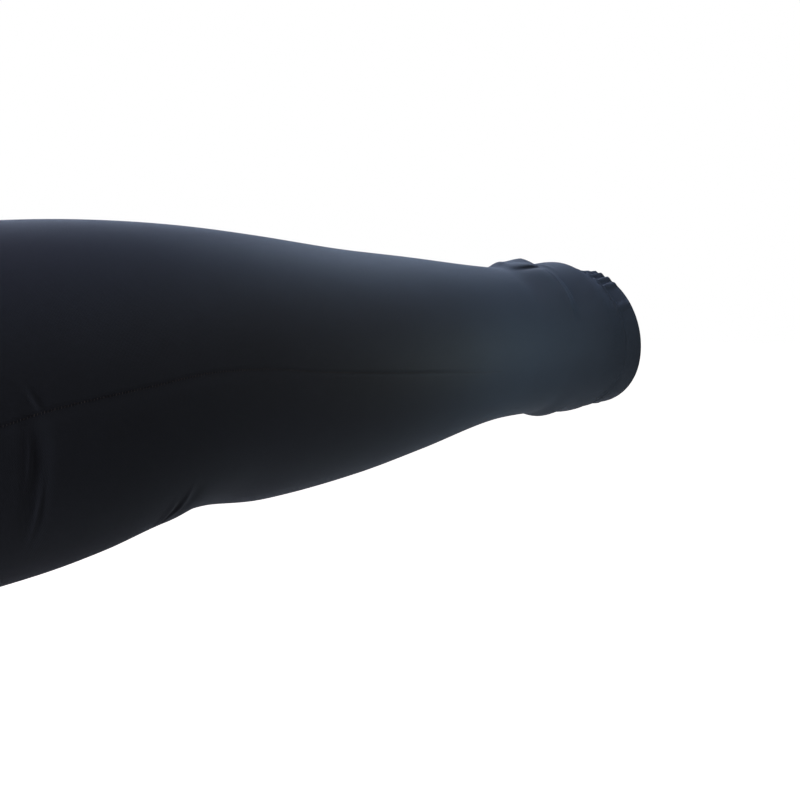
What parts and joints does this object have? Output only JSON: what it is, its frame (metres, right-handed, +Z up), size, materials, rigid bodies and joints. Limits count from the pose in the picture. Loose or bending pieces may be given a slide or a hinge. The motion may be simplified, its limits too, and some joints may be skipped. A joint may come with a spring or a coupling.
{
  "type": "arm sleeve",
  "caption": "Worn arm sleeve of smooth dark stretch knit, a tapering open tube with a lengthwise seam and a gathered elastic wrist cuff.",
  "frame": {"origin": "middle of the wrist opening, at the outer edge of the elastic cuff, where the wrist comes out", "axes": "+X out of the wrist opening along the forearm, +Z up, +Y towards the arm's inner side; the sleeve runs up the arm towards -X"},
  "size_m": [0.4138, 0.1038, 0.1233],
  "materials": {
    "knit": "matte",
    "elastic": "matte"
  },
  "bodies": {
    "root": {"sleeve_body": "knit", "wrist_cuff": "elastic"}
  },
  "joints": []
}
